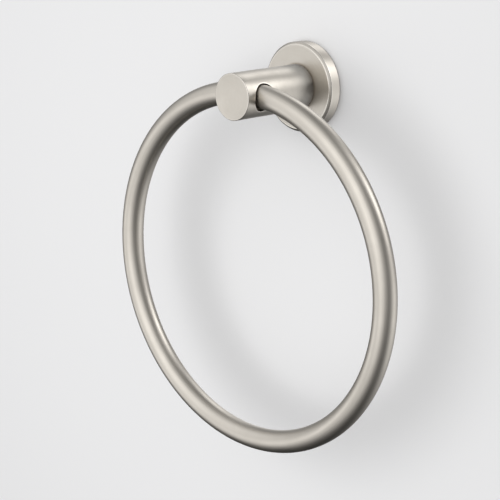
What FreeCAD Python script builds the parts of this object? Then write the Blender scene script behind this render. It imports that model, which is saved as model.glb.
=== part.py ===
import FreeCAD, Part
import math
import os

# Towel ring: a round bar bent to a full ring, held in a turned post on a rose that hides its wall bracket.
# Millimetres. The origin is the centre of the rose's back, on the wall.
# +X is right, +Y goes into the wall and +Z is up, so the post points along -Y.

# Ring
ring_centre_radius = 92.5      # radius of the bar's centreline, so the ring is 197 across
bar_dia = 12.0
ring_end_gap = 0.3             # between the bar's two ends, inside the post

# Post
post_dia = 24.0
post_reach = 55.0              # from the wall to the post's tip
post_tip_chamfer = 0.4         # softened edge round the flat tip
post_rear_chamfer = 0.3

# Cross bore in the post
bore_from_tip = 12.0           # from the post's tip to the bore's axis
bore_dia = 14.2
bore_drop = 0.4                # the bore lies this far below the post's axis
ring_lift_clearance = 0.1      # between the ring's top and the top of the bore

# Rose
rose_dia = 47.0
rose_thickness = 7.4
rose_front_chamfer = 1.2
rose_back_chamfer = 0.3
rose_recess_dia = 39.0
rose_web = 2.2                 # front wall of the rose, which the post is screwed to

# Wall bracket
bracket_rim_clearance = 0.3    # all round, between the bracket's front rim and the recess
bracket_web_clearance = 0.2    # between the bracket's front and the rose's web
bracket_undercut = 2.2         # how far the rim leans in at the wall
bracket_window_dia = 14.0      # round opening for the head of the post screw
wall_hole_dia = 4.6
wall_countersink_dia = 9.0

# Screw that holds the post to the rose
post_screw_dia = 6.0
post_screw_length = 16.0
post_screw_head_dia = 10.5
post_screw_head_height = 3.2
post_screw_head_bevel = 1.2
post_screw_tip_chamfer = 0.8
post_screw_socket = 4.0        # across the flats
post_screw_socket_depth = 1.9
post_screw_play = 0.6          # the rose's hole is wider than the screw by this much
post_thread_spare = 2.0        # the tapped hole goes on past the screw's end

# Spring washer under that screw's head
washer_dia = 11.0
washer_bore_play = 0.3
washer_thickness = 1.6
washer_split = 0.8
washer_split_angle = 25.0      # the split leans, as on a coiled washer

# Grub screw under the rose
rose_grub_dia = 4.0
rose_grub_length = 4.0
rose_grub_point_dia = 2.5
rose_grub_socket = 2.0
rose_grub_socket_depth = 1.6
rose_grub_height = 2.6         # from the wall to the screw's axis
rose_grub_seat_clearance = 0.05

# Dog-point grub screw under the post, and the dowel in the ring's drilled ends
ring_grub_dia = 5.0
ring_grub_sunk = 0.6           # the screw's end lies this far inside the post's surface
ring_grub_dog_dia = 3.0
ring_grub_dog_length = 2.6
ring_grub_socket = 2.5
ring_grub_socket_depth = 2.2
ring_grub_notch_play = 0.4     # the hole in the bar is wider than the dog point by this much
ring_grub_spot_depth = 0.5     # flat-bottomed spot in the dowel, where the dog point bears
joiner_dia = 8.0
joiner_length = 16.0
joiner_end_chamfer = 0.6
joiner_end_play = 0.3          # from each end of the dowel to the bottom of its hole

# Shared fits
thread_clearance = 0.05        # all round, between a screw and the hole that stands for its thread
seat_clearance = 0.05          # where one piece bears on another, or fits inside it
drill_point_angle = 118.0      # cone left by the drill at the end of a blind hole
cut_margin = 1.0               # how far a cutter runs on past a surface

# Places worked out from the sizes
bar_radius = bar_dia / 2
bore_radius = bore_dia / 2
ring_plane = post_reach - bore_from_tip
ring_top = -bore_drop + bore_radius - ring_lift_clearance - bar_radius
ring_centre = FreeCAD.Vector(0, -ring_plane, ring_top - ring_centre_radius)
rose_recess_depth = rose_thickness - rose_web
bracket_thickness = rose_recess_depth - bracket_web_clearance
bracket_front_radius = rose_recess_dia / 2 - bracket_rim_clearance
bracket_back_radius = bracket_front_radius - bracket_undercut
wall_hole_offset = (bracket_window_dia / 2 + bracket_back_radius) / 2
joiner_spot_floor = ring_top - joiner_dia / 2 + ring_grub_spot_depth

# The post screw, measured from the wall: its washer lies on the rose's web, and its head on the washer
washer_back = rose_recess_depth - seat_clearance
washer_front = washer_back - washer_thickness
post_screw_underhead = washer_front - seat_clearance
post_screw_end = post_screw_underhead + post_screw_length

# The rose's grub screw bears on the bracket's leaning rim, at the highest part of its point
rim_lean = bracket_undercut / bracket_thickness
rose_grub_contact = rose_grub_height + rose_grub_point_dia / 2
rose_grub_tip = bracket_back_radius + rim_lean * rose_grub_contact + rose_grub_seat_clearance

x_axis = FreeCAD.Vector(1, 0, 0)
y_axis = FreeCAD.Vector(0, 1, 0)
z_axis = FreeCAD.Vector(0, 0, 1)
out_of_wall = FreeCAD.Vector(0, -1, 0)


def turned(profile):
    """A solid turned about the post's axis. The profile is (distance from the wall, radius)."""
    points = [FreeCAD.Vector(radius, -distance, 0) for distance, radius in profile]
    face = Part.Face(Part.makePolygon(points + points[:1]))
    return face.revolve(FreeCAD.Vector(0, 0, 0), y_axis, 360)


def rod(diameter, start, direction, length):
    return Part.makeCylinder(diameter / 2, length, start, direction)


def hexagon(across_flats, start, direction, depth):
    """A hexagonal socket cutter that starts at a screw's end and goes in along direction."""
    corner_radius = across_flats / math.sqrt(3)
    side = z_axis if abs(direction.dot(z_axis)) < 0.5 else x_axis
    other = direction.cross(side)
    points = []
    for corner in range(6):
        angle = math.radians(60 * corner)
        offset = side * math.cos(angle) + other * math.sin(angle)
        points.append(start + offset * corner_radius)
    face = Part.Face(Part.makePolygon(points + points[:1]))
    return face.extrude(direction * depth)


# Grub screw under the rose. Its point bears on the bracket's leaning rim and draws the rose to the wall.
def make_rose_grub_screw():
    tip = FreeCAD.Vector(0, -rose_grub_height, -rose_grub_tip)
    down = z_axis * -1
    point_height = (rose_grub_dia - rose_grub_point_dia) / 2
    point = Part.makeCone(rose_grub_point_dia / 2, rose_grub_dia / 2, point_height, tip, down)
    body = rod(rose_grub_dia, tip + down * point_height, down, rose_grub_length - point_height)
    socket = hexagon(rose_grub_socket, tip + down * rose_grub_length, z_axis, rose_grub_socket_depth)
    return point.fuse(body).cut(socket).removeSplitter()


# Rose: a turned cap, open at the back.
def make_rose_cover():
    radius = rose_dia / 2
    recess = rose_recess_dia / 2
    cap = turned([
        (0, recess),
        (0, radius - rose_back_chamfer),
        (rose_back_chamfer, radius),
        (rose_thickness - rose_front_chamfer, radius),
        (rose_thickness, radius - rose_front_chamfer),
        (rose_thickness, 0),
        (rose_recess_depth, 0),
        (rose_recess_depth, recess),
    ])
    wall_point = FreeCAD.Vector(0, 0, 0)
    screw_hole_dia = post_screw_dia + post_screw_play
    screw_hole = rod(screw_hole_dia, wall_point, out_of_wall, rose_thickness + cut_margin)
    grub_start = FreeCAD.Vector(0, -rose_grub_height, 0)
    grub_hole = rod(rose_grub_dia + 2 * thread_clearance, grub_start, z_axis * -1, radius + cut_margin)
    return cap.cut(screw_hole).cut(grub_hole)


# Wall bracket: a round plate whose rim leans in towards the wall.
def make_wall_bracket():
    plate = turned([
        (0, bracket_window_dia / 2),
        (0, bracket_back_radius),
        (bracket_thickness, bracket_front_radius),
        (bracket_thickness, bracket_window_dia / 2),
    ])
    sink_depth = (wall_countersink_dia - wall_hole_dia) / 2
    for side in (-1, 1):
        centre = FreeCAD.Vector(side * wall_hole_offset, 0, 0)
        hole_start = centre + y_axis * cut_margin
        hole = rod(wall_hole_dia, hole_start, out_of_wall, bracket_thickness + 2 * cut_margin)
        mouth = centre + out_of_wall * bracket_thickness
        sink = Part.makeCone(wall_countersink_dia / 2, wall_hole_dia / 2, sink_depth, mouth, y_axis)
        plate = plate.cut(hole).cut(sink)
    return plate


# Post: turned from bar, tapped at the back, bored across for the ring and tapped from below into the bore.
def make_post():
    radius = post_dia / 2
    bar = turned([
        (rose_thickness, 0),
        (rose_thickness, radius - post_rear_chamfer),
        (rose_thickness + post_rear_chamfer, radius),
        (post_reach - post_tip_chamfer, radius),
        (post_reach, radius - post_tip_chamfer),
        (post_reach, 0),
    ])
    bore_start = FreeCAD.Vector(-radius - cut_margin, -ring_plane, -bore_drop)
    bore = rod(bore_dia, bore_start, x_axis, 2 * (radius + cut_margin))
    thread_radius = post_screw_dia / 2 + thread_clearance
    thread_end = post_screw_end + post_thread_spare
    cone_height = thread_radius / math.tan(math.radians(drill_point_angle / 2))
    tapped = turned([
        (rose_thickness - cut_margin, 0),
        (rose_thickness - cut_margin, thread_radius),
        (thread_end, thread_radius),
        (thread_end + cone_height, 0),
    ])
    grub_start = FreeCAD.Vector(0, -ring_plane, -radius - cut_margin)
    grub_hole_length = radius + cut_margin - bore_drop
    grub_hole = rod(ring_grub_dia + 2 * thread_clearance, grub_start, z_axis, grub_hole_length)
    return bar.cut(bore).cut(tapped).cut(grub_hole)


# Screw from inside the rose into the post.
def make_post_screw():
    head_top = post_screw_underhead - post_screw_head_height
    shank = post_screw_dia / 2
    head = post_screw_head_dia / 2
    screw = turned([
        (head_top, 0),
        (head_top, head - post_screw_head_bevel),
        (head_top + post_screw_head_bevel, head),
        (post_screw_underhead, head),
        (post_screw_underhead, shank),
        (post_screw_end - post_screw_tip_chamfer, shank),
        (post_screw_end, shank - post_screw_tip_chamfer),
        (post_screw_end, 0),
    ])
    head_centre = FreeCAD.Vector(0, -head_top, 0)
    socket = hexagon(post_screw_socket, head_centre, out_of_wall, post_screw_socket_depth)
    return screw.cut(socket)


# Spring washer under that screw's head, split on a slant.
def make_post_spring_washer():
    bore = (post_screw_dia + washer_bore_play) / 2
    washer = turned([
        (washer_front, bore),
        (washer_front, washer_dia / 2),
        (washer_back, washer_dia / 2),
        (washer_back, bore),
    ])
    split = Part.makeBox(washer_split, 3 * washer_thickness, washer_dia / 2)
    split.translate(FreeCAD.Vector(-washer_split / 2, -1.5 * washer_thickness, 0))
    split.rotate(FreeCAD.Vector(0, 0, 0), z_axis, washer_split_angle)
    split.translate(FreeCAD.Vector(0, -(washer_front + washer_back) / 2, 0))
    return washer.cut(split)


# Ring: one bent bar whose ends meet in the post, drilled for the dowel and notched for the dog point.
def make_ring():
    gap_angle = math.degrees(ring_end_gap / ring_centre_radius)
    section_centre = FreeCAD.Vector(0, -ring_plane, ring_top)
    section = Part.Face(Part.Wire(Part.makeCircle(bar_radius, section_centre, x_axis)))
    section.rotate(ring_centre, y_axis, gap_angle / 2)
    ring = section.revolve(ring_centre, y_axis, 360 - gap_angle)
    drilled_length = joiner_length + 2 * joiner_end_play
    drilled_start = FreeCAD.Vector(-drilled_length / 2, -ring_plane, ring_top)
    drilled = rod(joiner_dia + 2 * seat_clearance, drilled_start, x_axis, drilled_length)
    notch = rod(ring_grub_dog_dia + ring_grub_notch_play, section_centre, z_axis * -1, bar_dia)
    return ring.cut(drilled).cut(notch)


# Dowel in the ring's drilled ends, spotted underneath for the dog point.
def make_ring_joiner():
    start = FreeCAD.Vector(-joiner_length / 2, -ring_plane, ring_top)
    dowel = rod(joiner_dia, start, x_axis, joiner_length)

    def end_rim(edge):
        return isinstance(edge.Curve, Part.Circle)

    dowel = dowel.makeChamfer(joiner_end_chamfer, [edge for edge in dowel.Edges if end_rim(edge)])
    floor = FreeCAD.Vector(0, -ring_plane, joiner_spot_floor)
    spot_dia = ring_grub_dog_dia + 2 * thread_clearance
    spot = rod(spot_dia, floor, z_axis * -1, ring_grub_spot_depth + cut_margin)
    return dowel.cut(spot)


# Dog-point grub screw: it pushes the ring up against the top of the bore and stops it turning.
def make_ring_grub_screw():
    dog_tip = joiner_spot_floor - seat_clearance
    shoulder = dog_tip - ring_grub_dog_length
    end = -post_dia / 2 + ring_grub_sunk
    lower_end = FreeCAD.Vector(0, -ring_plane, end)
    body = rod(ring_grub_dia, lower_end, z_axis, shoulder - end)
    dog = rod(ring_grub_dog_dia, FreeCAD.Vector(0, -ring_plane, shoulder), z_axis, ring_grub_dog_length)
    socket = hexagon(ring_grub_socket, lower_end, z_axis, ring_grub_socket_depth)
    return body.fuse(dog).cut(socket)


nodes = {
    "rose_cover": make_rose_cover,
    "post": make_post,
    "ring": make_ring,
    "wall_bracket": make_wall_bracket,
    "rose_grub_screw": make_rose_grub_screw,
    "post_screw": make_post_screw,
    "post_spring_washer": make_post_spring_washer,
    "ring_joiner": make_ring_joiner,
    "ring_grub_screw": make_ring_grub_screw,
}

os.makedirs("parts", exist_ok=True)
for name, make in nodes.items():
    shape = make()
    shape.exportStep(f"parts/{name}.step")
    print(name, len(shape.Solids), round(shape.Volume, 1), shape.isValid())
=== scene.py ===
import math
import bmesh
import bpy
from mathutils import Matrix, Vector


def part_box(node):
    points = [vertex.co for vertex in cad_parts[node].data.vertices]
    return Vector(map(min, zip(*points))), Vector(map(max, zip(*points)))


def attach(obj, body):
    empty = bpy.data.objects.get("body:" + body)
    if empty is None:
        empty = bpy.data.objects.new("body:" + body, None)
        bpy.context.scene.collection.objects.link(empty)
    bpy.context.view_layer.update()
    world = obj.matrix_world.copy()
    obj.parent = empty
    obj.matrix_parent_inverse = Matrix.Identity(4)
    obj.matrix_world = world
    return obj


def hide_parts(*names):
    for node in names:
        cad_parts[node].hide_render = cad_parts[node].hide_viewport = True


# Towel ring on its wall. Metres, +X right, +Y into the wall, +Z up, origin in the middle of the rose's back.

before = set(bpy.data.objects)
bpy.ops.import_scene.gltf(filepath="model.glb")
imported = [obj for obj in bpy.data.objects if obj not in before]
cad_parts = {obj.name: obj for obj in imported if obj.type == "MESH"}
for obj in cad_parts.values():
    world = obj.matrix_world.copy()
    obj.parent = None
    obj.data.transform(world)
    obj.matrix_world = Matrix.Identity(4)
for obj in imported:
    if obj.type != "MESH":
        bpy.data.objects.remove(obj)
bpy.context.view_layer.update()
mm = 0.001
tiny = 0.002 * mm        # two points nearer than this are one
close = 0.01 * mm        # an edge nearer than this to a surface lies on it
drillSides = 64
print("frame loaded:", len(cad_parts), "nodes")


# Helpers for modelling in edit mode

def clearSelection():
    if bpy.context.object and bpy.context.object.mode != "OBJECT":
        bpy.ops.object.mode_set(mode="OBJECT")
    bpy.ops.object.select_all(action="DESELECT")


def selectOnly(piece):
    clearSelection()
    piece.select_set(True)
    bpy.context.view_layer.objects.active = piece


def applyPlace():
    bpy.ops.object.transform_apply(location=True, rotation=True, scale=True)


def openForEdit(piece):
    selectOnly(piece)
    bpy.ops.object.mode_set(mode="EDIT")


def closeEdit():
    bpy.ops.object.mode_set(mode="OBJECT")


def selectAll():
    bpy.ops.mesh.select_all(action="SELECT")


# Selects the verts, edges or faces that pass the test, and nothing else
def pick(piece, kind, test):
    bpy.ops.mesh.select_all(action="DESELECT")
    bpy.ops.mesh.select_mode(type={"verts": "VERT", "edges": "EDGE", "faces": "FACE"}[kind])
    shape = bmesh.from_edit_mesh(piece.data)
    for part in getattr(shape, kind):
        if test(part):
            part.select_set(True)
    shape.select_flush_mode()
    bmesh.update_edit_mesh(piece.data)


def extrude(offset=(0, 0, 0)):
    bpy.ops.mesh.extrude_region_move(TRANSFORM_OT_translate={"value": offset})


def resize(centre, x, y, z):
    bpy.ops.transform.resize(value=(x, y, z), center_override=centre)


def mergeDoubles():
    selectAll()
    bpy.ops.mesh.remove_doubles(threshold=tiny)


def faceOutwards():
    selectAll()
    bpy.ops.mesh.normals_make_consistent(inside=False)


def applyModifier(piece, kind, **settings):
    selectOnly(piece)
    modifier = piece.modifiers.new(kind.lower(), kind)
    for name, value in settings.items():
        setattr(modifier, name, value)
    bpy.ops.object.modifier_apply(modifier=modifier.name)


def cutAway(piece, cutter):
    applyModifier(piece, "BOOLEAN", operation="DIFFERENCE", solver="MANIFOLD", object=cutter)
    bpy.data.objects.remove(cutter)


def drill(name, diameter, start, direction, length, sides=drillSides):
    turn = Vector(direction).to_track_quat("Z", "Y").to_euler()
    centre = Vector(start) + Vector(direction) * length / 2
    clearSelection()
    bpy.ops.mesh.primitive_cylinder_add(
        vertices=sides, radius=diameter / 2, depth=length, location=centre, rotation=turn)
    bpy.context.object.name = name
    return bpy.context.object


# A finished piece sits at the origin with its place in its mesh, and rides on the one body
def finishPiece(piece, solid, sharpAngle):
    selectOnly(piece)
    applyPlace()
    bpy.ops.object.shade_smooth_by_angle(angle=math.radians(sharpAngle))
    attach(piece, "root")
    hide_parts(solid)
    print(piece.name, "has", len(piece.data.polygons), "faces")


# Turns an outline of (distance from the wall, radius) about the post's axis
def turnOutline(name, outline, steps):
    points = [Vector((radius, -distance, 0)) for distance, radius in outline]
    clearSelection()
    bpy.ops.mesh.primitive_plane_add(size=mm, location=points[0])
    piece = bpy.context.object
    piece.name = name
    applyPlace()
    openForEdit(piece)
    bpy.ops.mesh.select_mode(type="VERT")
    selectAll()
    bpy.ops.mesh.merge(type="CENTER")
    for start, end in zip(points, points[1:] + points[:1]):
        bpy.ops.mesh.extrude_vertices_move(TRANSFORM_OT_translate={"value": end - start})
    selectAll()
    bpy.ops.mesh.spin(steps=steps, angle=2 * math.pi, center=(0, 0, 0), axis=(0, 1, 0))
    mergeDoubles()
    faceOutwards()
    closeEdit()
    return piece


# Distance from the post's axis
def radiusOf(corner):
    return math.hypot(corner.co.x, corner.co.z)


# Softens the round edges at these (distance from the wall, radius) places
def softenRims(piece, rims, width, segments):
    def onRim(edge, distance, radius):
        return all(abs(-corner.co.y - distance) < tiny and abs(radiusOf(corner) - radius) < tiny
                   for corner in edge.verts)

    openForEdit(piece)
    pick(piece, "edges", lambda edge: any(onRim(edge, *rim) for rim in rims))
    bpy.ops.mesh.bevel(offset=width, offset_type="OFFSET", segments=segments, profile=0.5)
    closeEdit()


# Sizes that the frame gives, to a hundredth of a millimetre, and the bar's radius to a tenth

def span(solid, axis):
    low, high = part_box(solid)
    return round(low[axis] / mm, 2) * mm, round(high[axis] / mm, 2) * mm


roseRadius = span("rose_cover", 0)[1]
roseFront = -span("rose_cover", 1)[0]
postRadius = span("post", 0)[1]
postTip = -span("post", 1)[0]
ringDepth = span("ring", 1)
barRadius = round((ringDepth[1] - ringDepth[0]) / 2 / mm, 1) * mm
ringPlane = -(ringDepth[0] + ringDepth[1]) / 2
ringCentreRadius = span("ring", 0)[1] - barRadius
barTop = span("ring", 2)[1] - barRadius
ringCentre = Vector((0, -ringPlane, barTop - ringCentreRadius))
print("ring", round(2 * (ringCentreRadius + barRadius) / mm, 2), "across, bar", round(2 * barRadius / mm, 2))


# Rose: a turned cap with a soft edge round its bevelled front

rose = {
    "frontBevel": 1.2 * mm,
    "backBevel": 0.3 * mm,
    "web": 2.2 * mm,
    "recessRadius": 19.5 * mm,
    "screwHoleRadius": 3.3 * mm,
    "grubHoleDiameter": 4.1 * mm,
    "grubHeight": 2.6 * mm,     # from the wall
    "edgeSoftness": 0.16 * mm,
    "edgeSegments": 3,
    "steps": 192,
    "sharpAngle": 25,
    "jointShadeWidth": 0.8 * mm,    # of the painted shade round the post, on the rose's face
}


def makeRose():
    inner = roseFront - rose["web"]
    bevelStart = roseFront - rose["frontBevel"]
    faceRadius = roseRadius - rose["frontBevel"]
    cap = turnOutline("rose_cap", [
        (0, rose["recessRadius"]),
        (0, roseRadius - rose["backBevel"]),
        (rose["backBevel"], roseRadius),
        (bevelStart, roseRadius),
        (roseFront, faceRadius),
        (roseFront, rose["screwHoleRadius"]),
        (inner, rose["screwHoleRadius"]),
        (inner, rose["recessRadius"]),
    ], rose["steps"])
    softenRims(cap, [(bevelStart, roseRadius), (roseFront, faceRadius)],
               rose["edgeSoftness"], rose["edgeSegments"])
    grubStart = (0, -rose["grubHeight"], 0)
    cutAway(cap, drill("rose_drill", rose["grubHoleDiameter"], grubStart, (0, 0, -1), roseRadius + mm))
    finishPiece(cap, "rose_cover", rose["sharpAngle"])
    return cap


# Post: four panels make its side, two of them with the mouths of the cross bore

post = {
    "boreRadius": 7.1 * mm,
    "boreDrop": 0.4 * mm,
    "lipBand": 0.45 * mm,       # of the panel round a mouth, kept for the lip
    "lipSoftness": 0.25 * mm,
    "lipSegments": 3,
    "tipSoftness": 0.42 * mm,
    "tipSegments": 4,
    "rearSoftness": 0.3 * mm,
    "rearSegments": 2,
    "tappedRadius": 3.05 * mm,
    "tappedDepth": 14.1 * mm,
    "drillPointDepth": 1.8 * mm,
    "grubHoleDiameter": 5.1 * mm,
    "sides": 160,               # round a mouth, and round the post
    "blankSides": 720,          # of the round blank that the panels are laid on
    "panelRows": 7,
    "sharpAngle": 25,
    "jointShadeWidth": 3.0 * mm,    # of the painted shade band next to the rose
}
halfPanel = postRadius * math.sin(math.pi / 4)


# One quarter of the post's side, facing +X, with a round hole or a closed middle
def makePanel(blank, holeRadius, holeOffset, closed):
    centre = Vector((2 * postRadius, -ringPlane, 0))
    holeCentre = centre + Vector((0, 0, holeOffset))
    lipRadius = holeRadius + post["lipBand"]
    lipScale = lipRadius / holeRadius
    outerScale = postRadius / lipRadius

    def fromHole(corner):
        return (corner.co - holeCentre).length

    def onHole(edge):
        return all(abs(fromHole(corner) - holeRadius) < tiny for corner in edge.verts)

    def crossesPanel(edge):
        nearEnd, farEnd = sorted(map(fromHole, edge.verts))
        return abs(nearEnd - lipRadius) < tiny and farEnd > lipRadius + close

    clearSelection()
    bpy.ops.mesh.primitive_circle_add(vertices=post["sides"], radius=holeRadius, location=holeCentre,
                                      rotation=(0, math.pi / 2, 0))
    panel = bpy.context.object
    applyPlace()
    openForEdit(panel)
    bpy.ops.mesh.select_mode(type="EDGE")
    selectAll()
    extrude()
    resize(holeCentre, 1, lipScale, lipScale)
    # The outer loop starts as a circle through the panel's corners, and each quarter is then made straight
    extrude((0, 0, -holeOffset))
    resize(centre, 1, outerScale, outerScale)
    for across, side in ((1, 1), (1, -1), (2, 1), (2, -1)):
        along = 3 - across

        def onThisSide(corner):
            place = corner.co - centre
            onOuterLoop = max(abs(place.y), abs(place.z)) > halfPanel - tiny
            return onOuterLoop and side * place[across] > abs(place[along]) - tiny

        pick(panel, "verts", onThisSide)
        flatten = [1, 1, 1]
        flatten[across] = 0
        pivot = centre.copy()
        pivot[across] += side * halfPanel
        resize(pivot, *flatten)
    # Rows between the lip and the straight sides, which then follow the round of the post
    pick(panel, "edges", crossesPanel)
    bpy.ops.mesh.subdivide_edgering(number_cuts=post["panelRows"], interpolation="LINEAR")
    if closed:
        pick(panel, "edges", onHole)
        bpy.ops.mesh.fill_grid(span=post["sides"] // 4)
    closeEdit()
    applyModifier(panel, "SHRINKWRAP", target=blank, wrap_method="PROJECT", use_project_x=True,
                  use_negative_direction=True, use_positive_direction=False)
    return panel


def onBore(corner):
    fromAxis = math.hypot(corner.co.y + ringPlane, corner.co.z + post["boreDrop"])
    return abs(fromAxis - post["boreRadius"]) < tiny


def makePostSide():
    blank = drill("post_blank", 2 * postRadius, (0, -postTip - mm, 0), (0, 1, 0), postTip, post["blankSides"])
    boreRadius = post["boreRadius"]
    panels = []
    # (turn about the post, hole's radius, its offset on the panel, closed)
    for turn, holeRadius, holeOffset, closed in (
            (0, boreRadius, -post["boreDrop"], False),
            (90, boreRadius / 2, 0, True),
            (180, boreRadius, post["boreDrop"], False),
            (270, boreRadius / 2, 0, True)):
        panel = makePanel(blank, holeRadius, holeOffset, closed)
        panel.rotation_euler.y = math.radians(-turn)
        applyPlace()
        panels.append(panel)
    bpy.data.objects.remove(blank)
    selectOnly(panels[0])
    for panel in panels:
        panel.select_set(True)
    bpy.ops.object.join()
    return bpy.context.object


def makePost():
    bar = makePostSide()
    bar.name = "post_bar"
    openForEdit(bar)
    mergeDoubles()
    # The bore's wall runs from mouth to mouth
    pick(bar, "edges", lambda edge: edge.is_boundary and all(map(onBore, edge.verts)))
    bpy.ops.mesh.bridge_edge_loops()
    # The side runs on to the tip and to the rose
    for start, end in ((-ringPlane - halfPanel, -postTip), (-ringPlane + halfPanel, -roseFront)):
        pick(bar, "edges", lambda edge: edge.is_boundary and
             all(abs(corner.co.y - start) < close for corner in edge.verts))
        extrude((0, end - start, 0))
        bpy.ops.mesh.edge_face_add()
    faceOutwards()
    # Tapped hole in the rear face, with its drill point
    pick(bar, "faces", lambda face: all(abs(corner.co.y + roseFront) < tiny for corner in face.verts))
    bpy.ops.mesh.inset(thickness=postRadius - post["tappedRadius"])
    extrude((0, -post["tappedDepth"], 0))
    extrude((0, -post["drillPointDepth"], 0))
    bpy.ops.mesh.merge(type="CENTER")
    closeEdit()
    softenRims(bar, [(postTip, postRadius)], post["tipSoftness"], post["tipSegments"])
    softenRims(bar, [(roseFront, postRadius)], post["rearSoftness"], post["rearSegments"])
    # The two lips of the bore
    openForEdit(bar)
    pick(bar, "edges", lambda edge: all(
        onBore(corner) and abs(radiusOf(corner) - postRadius) < close for corner in edge.verts))
    bpy.ops.mesh.bevel(offset=post["lipSoftness"], offset_type="OFFSET", segments=post["lipSegments"],
                       profile=0.5)
    closeEdit()
    grubStart = (0, -ringPlane, -postRadius - mm)
    cutAway(bar, drill("post_drill", post["grubHoleDiameter"], grubStart, (0, 0, 1), postRadius - mm))
    finishPiece(bar, "post", post["sharpAngle"])
    return bar


# Ring: a bar bent full circle, its ends drilled and notched inside the post

ring = {
    "endGap": 0.3 * mm,
    "holeRadius": 4.05 * mm,
    "holeDepth": 8.3 * mm,
    "notchDiameter": 3.4 * mm,
    "barSides": 64,
    "steps": 360,
    "sharpAngle": 30,
}


def makeRing():
    halfGap = ring["endGap"] / ringCentreRadius / 2
    firstEnd = ringCentre + ringCentreRadius * Vector((math.sin(halfGap), 0, math.cos(halfGap)))
    clearSelection()
    bpy.ops.mesh.primitive_circle_add(vertices=ring["barSides"], radius=barRadius, location=firstEnd,
                                      rotation=(0, math.pi / 2 + halfGap, 0))
    bar = bpy.context.object
    bar.name = "ring_bar"
    applyPlace()
    openForEdit(bar)
    bpy.ops.mesh.select_mode(type="EDGE")
    selectAll()
    bpy.ops.mesh.spin(steps=ring["steps"], angle=2 * (math.pi - halfGap), center=ringCentre, axis=(0, 1, 0))
    for side in (1, -1):
        pick(bar, "edges", lambda edge: edge.is_boundary and
             all(side * corner.co.x > 0 for corner in edge.verts))
        bpy.ops.mesh.edge_face_add()
        bpy.ops.mesh.inset(thickness=barRadius - ring["holeRadius"])
        extrude((side * ring["holeDepth"], 0, 0))
    faceOutwards()
    closeEdit()
    notchStart = (0, -ringPlane, barTop - barRadius - mm)
    cutAway(bar, drill("ring_drill", ring["notchDiameter"], notchStart, (0, 0, 1), barRadius + mm))
    finishPiece(bar, "ring", ring["sharpAngle"])
    return bar


roseCap = makeRose()
postBar = makePost()
ringBar = makeRing()


# Materials: an expression on links adds its Math nodes

class Link:
    def __init__(self, tree, socket):
        self.tree = tree
        self.socket = socket

    def maths(self, operation, *others):
        return node(self.tree, "Math", {"operation": operation}, dict(enumerate((self, *others))))

    def __add__(self, other):
        return self.maths("ADD", other)

    def __sub__(self, other):
        return self.maths("SUBTRACT", other)

    def __mul__(self, other):
        return self.maths("MULTIPLY", other)

    def __truediv__(self, other):
        return self.maths("DIVIDE", other)

    def __pow__(self, other):
        return self.maths("POWER", other)

    def __rsub__(self, other):
        return self * -1 + other

    __radd__ = __add__
    __rmul__ = __mul__


def node(tree, kind, settings, values, output=0):
    made = tree.nodes.new("ShaderNode" + kind)
    for name, value in settings.items():
        setattr(made, name, value)
    for name, value in values.items():
        if isinstance(value, Link):
            tree.links.new(value.socket, made.inputs[name])
        else:
            made.inputs[name].default_value = value
    return Link(tree, made.outputs[output]) if made.outputs else None


def newMaterial(name):
    material = bpy.data.materials.new(name)
    material.use_nodes = True
    material.node_tree.nodes.clear()
    return material, material.node_tree


def finishMaterial(tree, shader):
    node(tree, "OutputMaterial", {}, {"Surface": shader})


def dress(piece, material):
    piece.data.materials.clear()
    piece.data.materials.append(material)


def opaque(colour):
    return (*colour, 1)


# From one colour to the other as the share goes from 0 to 1, by the Mix node's factor and colour sockets
def blend(tree, share, first, second):
    return node(tree, "Mix", {"data_type": "RGBA"}, {0: share, 6: first, 7: second}, 2)


def objectPlace(tree):
    place = node(tree, "TexCoord", {}, {}, "Object")
    return place, [node(tree, "SeparateXYZ", {}, {0: place}, axis) for axis in range(3)]


def noise(tree, vector, scale, detail=2.0, roughness=0.5):
    return node(tree, "TexNoise", {}, {"Vector": vector, "Scale": scale, "Detail": detail,
                                       "Roughness": roughness})


# Distance from the post's axis, as a link
def radiusLink(parts):
    x, y, z = parts
    return (x * x + z * z) ** 0.5


# Grain on a turned piece: long about its axis, fine along its side and across its faces
def turnedGrain(tree, parts, pitch, length):
    x, y, z = parts
    radius = radiusLink(parts)
    reach = (radius + tiny) * length
    place = node(tree, "CombineXYZ", {}, {0: x / reach, 1: (radius + y) / pitch, 2: z / reach})
    return noise(tree, place, 1.0)


# Grain that runs along the bent bar
def bentGrain(tree, parts, pitch, length):
    x, y, z = parts
    down = ringCentre.z - z
    outward = (x * x + down * down) ** 0.5 - ringCentreRadius
    along = x.maths("ARCTAN2", down) * (ringCentreRadius / length)
    place = node(tree, "CombineXYZ", {}, {0: outward / pitch, 1: (y - ringCentre.y) / pitch, 2: along})
    return noise(tree, place, 1.0)


# 1 where both offsets are nothing, fading to 0 over about twice the width
def fade(across, along, width):
    return ((across * across + along * along) * (-1 / width ** 2)).maths("EXPONENT")


satinNickel = {
    "base": (0.70, 0.66, 0.60),
    "worn": (0.56, 0.525, 0.47),
    # lighter colour of the rubbed rims: a painted highlight
    "wearAndHighlightColour": (0.83, 0.79, 0.73),
    # colour of the painted shade where the post stands on the rose
    "jointShadeColour": (0.33, 0.28, 0.225),
    "roughness": 0.34,
    "roughnessSpread": 0.14,
    "coarsePitch": 0.9 * mm,
    "coarseShare": 0.5,
    "finePitch": 0.28 * mm,
    "turnedLength": 0.3,        # of a grain line, as a share of its radius
    "bentLength": 45 * mm,
    "grainHeight": 0.035 * mm,
    "cloudScale": 90.0,
    "cloudDetail": 3.0,
    "cloudRoughness": 0.55,
    # rubbed rims: smoother from wear, and lighter as a painted highlight
    "wearAndHighlightWidth": 0.45 * mm,
    "wearAndHighlightShare": 0.8,
    # share of the painted shade at the joint of post and rose
    "jointShadeShare": 0.7,
}


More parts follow.
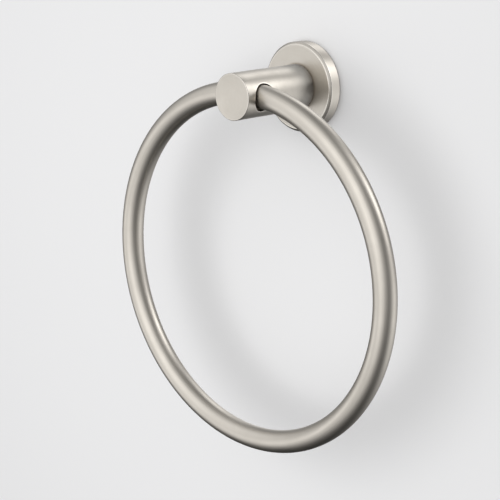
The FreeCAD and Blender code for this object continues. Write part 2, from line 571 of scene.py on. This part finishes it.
# Turned edges, rubbed smoother and painted lighter as a highlight, at these (distance from the wall, radius)
# places
def wornAndHighlitRims(parts, rims):
    y = parts[1]
    radius = radiusLink(parts)
    width = satinNickel["wearAndHighlightWidth"]
    return sum(fade(y + distance, radius - rimRadius, width) for distance, rimRadius in rims)


def roseWearAndHighlight(parts):
    return wornAndHighlitRims(parts, [(roseFront - rose["frontBevel"], roseRadius),
                              (roseFront, roseRadius - rose["frontBevel"])])


# The post's tip, and the lips of its bore, rubbed smoother and painted lighter as a highlight
def postWearAndHighlight(parts):
    x, y, z = parts
    height, depth = z + post["boreDrop"], y + ringPlane
    fromBore = (height * height + depth * depth) ** 0.5 - post["boreRadius"]
    lips = fade(fromBore, radiusLink(parts) - postRadius, satinNickel["wearAndHighlightWidth"])
    return wornAndHighlitRims(parts, [(postTip, postRadius)]) + lips


# Painted shade in the narrow corner where the post stands on the rose, darkest at the joint
def paintedJointShade(parts, width):
    y = parts[1]
    return fade(y + roseFront, radiusLink(parts) - postRadius, width)


def makeSatinNickel(name, grain, length, wearAndHighlight=None, jointShadeWidth=None):
    spread = satinNickel["roughnessSpread"]
    material, tree = newMaterial(name)
    place, parts = objectPlace(tree)
    coarse = grain(tree, parts, satinNickel["coarsePitch"], length)
    fine = grain(tree, parts, satinNickel["finePitch"], length)
    lines = coarse * satinNickel["coarseShare"] + fine * (1 - satinNickel["coarseShare"])
    clouds = noise(tree, place, satinNickel["cloudScale"], satinNickel["cloudDetail"],
                   satinNickel["cloudRoughness"])
    shade = blend(tree, (clouds + lines) / 2, opaque(satinNickel["base"]), opaque(satinNickel["worn"]))
    rough = (clouds + lines - 1) * spread + satinNickel["roughness"]
    if wearAndHighlight:
        # Each noise is 0.5 on average, so half is added to make the wear and the painted highlight uneven
        # about its share
        # Rubbed rims: the lower roughness is wear, and the lighter colour is a painted highlight
        wearAndHighlightMask = wearAndHighlight(parts) * (lines + 0.5) * satinNickel["wearAndHighlightShare"]
        # Painted shade in the joint between the post and the rose, with a little more roughness
        corner = paintedJointShade(parts, jointShadeWidth) * (clouds + 0.5) * satinNickel["jointShadeShare"]
        shade = blend(tree, wearAndHighlightMask, shade, opaque(satinNickel["wearAndHighlightColour"]))
        shade = blend(tree, corner, shade, opaque(satinNickel["jointShadeColour"]))
        rough = rough - wearAndHighlightMask * spread + corner * spread
    bump = node(tree, "Bump", {}, {"Height": lines, "Distance": satinNickel["grainHeight"]})
    finishMaterial(tree, node(tree, "BsdfPrincipled", {}, {
        "Base Color": shade, "Metallic": 1.0, "Roughness": rough, "Normal": bump}))
    return material


plainMetal = {
    "zinc": {"base": (0.6, 0.61, 0.62), "roughness": 0.36},
    "stainless": {"base": (0.56, 0.56, 0.55), "roughness": 0.28},
    "wornShare": 0.72,          # of the base colour
    "roughnessSpread": 0.1,
    "pitch": 0.35 * mm,
    "length": 0.3,
    "grainHeight": 0.006 * mm,
    "cloudScale": 140.0,
    "cloudDetail": 4.0,
    "cloudRoughness": 0.6,
}


def makePlainMetal(name, finish):
    material, tree = newMaterial(name)
    place, parts = objectPlace(tree)
    lines = turnedGrain(tree, parts, plainMetal["pitch"], plainMetal["length"])
    clouds = noise(tree, place, plainMetal["cloudScale"], plainMetal["cloudDetail"],
                   plainMetal["cloudRoughness"])
    worn = [part * plainMetal["wornShare"] for part in finish["base"]]
    shade = blend(tree, (lines + clouds) / 2, opaque(finish["base"]), opaque(worn))
    rough = (lines + clouds) * plainMetal["roughnessSpread"] + finish["roughness"]
    bump = node(tree, "Bump", {}, {"Height": lines, "Distance": plainMetal["grainHeight"]})
    finishMaterial(tree, node(tree, "BsdfPrincipled", {}, {
        "Base Color": shade, "Metallic": 1.0, "Roughness": rough, "Normal": bump}))
    return material


turnedLength = satinNickel["turnedLength"]
dress(roseCap, makeSatinNickel("satin_nickel_rose", turnedGrain, turnedLength, roseWearAndHighlight, rose["jointShadeWidth"]))
dress(postBar, makeSatinNickel("satin_nickel_post", turnedGrain, turnedLength, postWearAndHighlight, post["jointShadeWidth"]))
dress(ringBar, makeSatinNickel("satin_nickel_ring", bentGrain, satinNickel["bentLength"]))
dress(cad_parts["wall_bracket"], makePlainMetal("zinc_plate", plainMetal["zinc"]))
stainless = makePlainMetal("stainless_screw", plainMetal["stainless"])
for name in ("rose_grub_screw", "post_screw", "post_spring_washer", "ring_joiner", "ring_grub_screw"):
    dress(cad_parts[name], stainless)
roseCap.visible_glossy = False      # in the photo the post's highlight runs on almost to the rose
print("materials made")


# Wall, floor and backdrop: plain and pale. The wall shows from its front only, so the back can be looked at.

stage = {
    "roomRadius": 3.0,
    "roomSegments": 48,
    "roomRings": 32,
    "roomSmoothing": 2,
    "roomColour": (0.6, 0.6, 0.6),
    "roomGlow": 0.4,            # of its own, which lights nothing else
    "floorDrop": 1.3,
    "wallSides": 96,
    "wallBehind": 0.5 * mm,     # the rose's back
    "wallHole": 0.9,            # share of the rose's radius, so that the rose covers it
    "wallColour": (0.675, 0.675, 0.68),
}


# The stage lets the studio's light through, and the metal shows the studio and not the stage
def setOnStage(surface, material):
    dress(surface, material)
    surface.visible_glossy = False
    surface.visible_shadow = False


def makeWall():
    holeRadius = roseRadius * stage["wallHole"]
    growth = stage["roomRadius"] / holeRadius
    wallPlace = (0, stage["wallBehind"], 0)
    clearSelection()
    bpy.ops.mesh.primitive_circle_add(vertices=stage["wallSides"], radius=holeRadius, location=wallPlace,
                                      rotation=(math.pi / 2, 0, 0))
    wall = bpy.context.object
    wall.name = "wall"
    applyPlace()
    openForEdit(wall)
    bpy.ops.mesh.select_mode(type="EDGE")
    selectAll()
    extrude()
    resize(wallPlace, growth, 1, growth)
    pick(wall, "faces", lambda face: face.normal.y > 0)
    bpy.ops.mesh.flip_normals()
    closeEdit()
    material, tree = newMaterial("wall_paint")
    paint = node(tree, "BsdfDiffuse", {}, {"Color": opaque(stage["wallColour"])})
    clear = node(tree, "BsdfTransparent", {}, {})
    behind = node(tree, "NewGeometry", {}, {}, "Backfacing")
    finishMaterial(tree, node(tree, "MixShader", {}, {0: behind, 1: paint, 2: clear}))
    setOnStage(wall, material)


# A round room whose lower part is pressed flat for the floor, with a soft sweep between
def makeRoom():
    clearSelection()
    bpy.ops.mesh.primitive_uv_sphere_add(segments=stage["roomSegments"], ring_count=stage["roomRings"],
                                         radius=stage["roomRadius"])
    room = bpy.context.object
    room.name = "room"
    openForEdit(room)
    pick(room, "verts", lambda corner: corner.co.z < -stage["floorDrop"])
    resize((0, 0, -stage["floorDrop"]), 1, 1, 0)
    selectAll()
    bpy.ops.mesh.flip_normals()
    closeEdit()
    applyModifier(room, "SUBSURF", levels=stage["roomSmoothing"], render_levels=stage["roomSmoothing"])
    bpy.ops.object.shade_smooth()
    room.visible_diffuse = False
    material, tree = newMaterial("room_paint")
    paint = node(tree, "BsdfDiffuse", {}, {"Color": opaque(stage["roomColour"])})
    ownGlow = node(tree, "Emission", {}, {"Strength": stage["roomGlow"]})
    finishMaterial(tree, node(tree, "AddShader", {}, {0: paint, 1: ownGlow}))
    material.cycles.emission_sampling = "NONE"
    setOnStage(room, material)


makeWall()
makeRoom()
print("wall and room made")


# Light: a studio of soft glows round the object, and a large lamp in front for the wall

studio = {
    "around": 0.012,
    # (azimuth from straight in front, elevation, strength, tightness)
    "glows": [
        (13, 19, 1.35, 3.9),        # front
        (-9, -19, 0.68, 6.9),
        (-61, 35, 0.84, 4.4),       # left
        (-58, -17, 1.0, 22),
        (139, 31, 2.58, 22),        # behind, right
        (120, 57, 0.62, 22),
        (131, -16, 1.08, 6.8),
        (170, -29, 0.33, 14),
        (-158, 41, 1.7, 22),        # behind, left
        (-145, -3, 1.0, 13.3),
    ],
}
wallLamp = {
    "azimuth": -9.0,
    "elevation": 8.0,
    "distance": 0.9,            # from the ring's centre
    "radius": 0.52,
    "power": 2.05,              # watts
    "spread": 110.0,            # degrees
}


def towards(azimuth, elevation):
    turn, lift = math.radians(azimuth), math.radians(elevation)
    return Vector((math.sin(turn) * math.cos(lift), -math.cos(turn) * math.cos(lift), math.sin(lift)))


def makeWorld():
    world = bpy.data.worlds.new("studio")
    bpy.context.scene.world = world
    world.use_nodes = True
    tree = world.node_tree
    tree.nodes.clear()
    direction = node(tree, "TexCoord", {}, {}, "Generated")
    light = studio["around"]
    for azimuth, elevation, strength, tightness in studio["glows"]:
        facing = node(tree, "VectorMath", {"operation": "DOT_PRODUCT"},
                      {0: direction, 1: towards(azimuth, elevation)}, 1)
        light = light + ((facing - 1) * tightness).maths("EXPONENT") * strength
    sky = node(tree, "Background", {}, {"Color": opaque((1, 1, 1)), "Strength": light})
    node(tree, "OutputWorld", {}, {"Surface": sky})


def makeWallLamp():
    away = towards(wallLamp["azimuth"], wallLamp["elevation"])
    clearSelection()
    bpy.ops.object.light_add(type="AREA", location=ringCentre + away * wallLamp["distance"],
                             rotation=away.to_track_quat("Z", "Y").to_euler())
    lamp = bpy.context.object
    lamp.name = "wall_lamp"
    lamp.data.shape = "DISK"
    lamp.data.size = 2 * wallLamp["radius"]
    lamp.data.energy = wallLamp["power"]
    lamp.data.spread = math.radians(wallLamp["spread"])
    lamp.visible_camera = False
    lamp.visible_glossy = False     # the metal takes its light from the studio alone


makeWorld()
makeWallLamp()
print("studio lit")


# Camera: at the photograph's angle

camera = {
    "azimuth": 45.0,
    "elevation": 15.0,
    "distance": 762.8 * mm,
    "sensor": 36.0,
    "lens": 105.74,
    "aimRight": 1.3 * mm,       # from the ring's centre
    "aimUp": 10.5 * mm,
    "shift": 0.001,             # half a pixel
}


def makeCamera():
    aim = ringCentre + Vector((camera["aimRight"], 0, camera["aimUp"]))
    away = towards(camera["azimuth"], camera["elevation"])
    clearSelection()
    bpy.ops.object.camera_add(location=aim + away * camera["distance"],
                              rotation=away.to_track_quat("Z", "Y").to_euler())
    eye = bpy.context.object
    eye.data.lens = camera["lens"]
    eye.data.sensor_width = camera["sensor"]
    eye.data.shift_x = -camera["shift"]
    eye.data.shift_y = camera["shift"]
    bpy.context.scene.camera = eye


makeCamera()
bpy.context.scene.view_settings.view_transform = "Standard"

print("scene ready")
